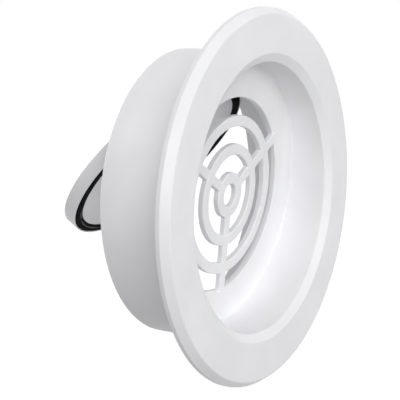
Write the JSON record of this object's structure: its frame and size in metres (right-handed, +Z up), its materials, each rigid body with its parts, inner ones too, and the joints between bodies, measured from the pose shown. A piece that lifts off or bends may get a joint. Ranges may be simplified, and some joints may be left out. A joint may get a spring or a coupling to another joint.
{
  "type": "non-return valve",
  "caption": "Round plastic duct non-return valve: bevelled flange, recessed ring grille on an inclined floor, plain spigot, and a top-hinged flap with a rubber gasket that closes on the seat.",
  "frame": {"origin": "on the spigot's axis, in the rear plane of the flange, which lies on the wall or ceiling", "axes": "the flange's front faces -Y, the spigot runs into the duct along +Y, +Z is up and the flap's hinge lies at the top along X"},
  "size_m": [0.128, 0.0737, 0.128],
  "materials": {
    "housing": "semi-gloss moulded white plastic",
    "flap": "semi-gloss moulded white plastic",
    "gasket": "matt black rubber"
  },
  "bodies": {
    "housing": {"housing": "housing"},
    "flap": {"flap": "flap", "gasket": "gasket"}
  },
  "joints": [
    {"name": "flap_hinge", "type": "hinge", "parent": "housing", "child": "flap", "pos_m": [0, 0.01446, 0.04139], "axis": [1, 0, 0], "range_deg": [-37.4, 26]}
  ]
}
